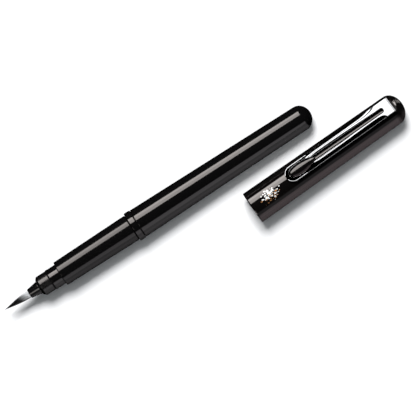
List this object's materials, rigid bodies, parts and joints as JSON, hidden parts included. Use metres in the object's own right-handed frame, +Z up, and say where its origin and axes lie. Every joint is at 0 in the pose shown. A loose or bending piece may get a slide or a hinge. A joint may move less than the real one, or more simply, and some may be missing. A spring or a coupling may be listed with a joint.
{
  "type": "pocket brush pen",
  "caption": "Refillable pocket brush pen with its cap off: tapered barrel, threaded grip section with a pointed bristle tuft and ink cartridge, and a domed cap with a spring clip.",
  "frame": {"origin": "centre of the underside of the whole, on the table", "axes": "+X along the pen from brush to barrel tail, +Z up, the cap lies on the -Y side"},
  "size_m": [0.156, 0.0288, 0.0143],
  "materials": {
    "barrel_black": "polished black injection-moulded plastic",
    "ring_black": "polished black plastic trim ring",
    "section_black": "polished black plastic grip",
    "collar_black": "polished black plastic collar",
    "cone_black": "satin black plastic cone",
    "bristle": "fine nylon bristles, ink-black at the tip and white at the root",
    "bristle_root": "fused bristle ends",
    "feed_plastic": "matt dark plastic",
    "tube_plastic": "milky plastic tube",
    "cartridge_plastic": "translucent plastic bottle",
    "ball_steel": "polished steel ball",
    "ink": "black liquid ink",
    "seal_rubber": "soft black rubber",
    "cap_black": "polished black plastic with a small printed fleck pattern near the mouth",
    "crown_black": "polished black plastic with turned rings",
    "inner_cap_plastic": "semi-matt grey plastic",
    "clip_chrome": "bright chrome plate",
    "shoe_black": "polished black plastic boss"
  },
  "bodies": {
    "barrel": {"barrel": "barrel_black"},
    "ring": {"step_ring": "ring_black"},
    "seal": {"joint_seal": "seal_rubber"},
    "section": {"section_shell": "section_black", "tip_collar": "collar_black", "nose_cone": "cone_black", "tuft_base": "bristle_root", "feed": "feed_plastic", "feed_tube": "tube_plastic", "cartridge_spigot": "feed_plastic"},
    "tuft": {"brush_tuft": "bristle"},
    "cartridge": {"cartridge_body": "cartridge_plastic", "cartridge_ball": "ball_steel", "ink_charge": "ink"},
    "cap": {"cap_shell": "cap_black", "crown": "crown_black", "inner_cap": "inner_cap_plastic", "inner_cap_seal": "seal_rubber"},
    "clip": {"clip": "clip_chrome", "clip_shoe": "shoe_black"}
  },
  "joints": [
    {"name": "section_pull", "type": "slide", "parent": "barrel", "child": "ring", "axis": [-0.9999, 0, 0.014], "range_m": [0, 0.06175]},
    {"name": "section_unscrew", "type": "hinge", "parent": "ring", "child": "seal", "pos_m": [-0.02403, 0.00887, 0.00559], "axis": [-0.9999, 0, 0.014], "range_deg": [0, 1800]},
    {"name": "thread_travel", "type": "slide", "parent": "seal", "child": "section", "axis": [-0.9999, 0, 0.014], "range_m": [0, 0.00625]},
    {"name": "cartridge_pull", "type": "slide", "parent": "section", "child": "cartridge", "axis": [0.9999, 0, -0.014], "range_m": [0, 0.009]},
    {"name": "brush_bend", "type": "hinge", "parent": "section", "child": "tuft", "pos_m": [-0.06763, 0.00887, 0.0062], "axis": [0.014, 0, 0.9999], "range_deg": [-15, 15], "stiffness_Nm_per_rad": 0.0001},
    {"name": "cap_swing", "type": "hinge", "parent": "barrel", "child": "cap", "pos_m": [-0.03979, -0.00078, 0.00633], "axis": [-0.0102, -0.0324, -0.9994], "range_deg": [0, 182.14]},
    {"name": "clip_flex", "type": "hinge", "parent": "cap", "child": "clip", "pos_m": [0.07421, -0.00463, 0.01095], "axis": [-0.0382, 0.9605, -0.2756], "range_deg": [0, 4.5], "stiffness_Nm_per_rad": 0.03}
  ],
  "couplings": [
    {"joint": "section_unscrew", "follows": "thread_travel", "rad_per_m": 5026.5}
  ]
}
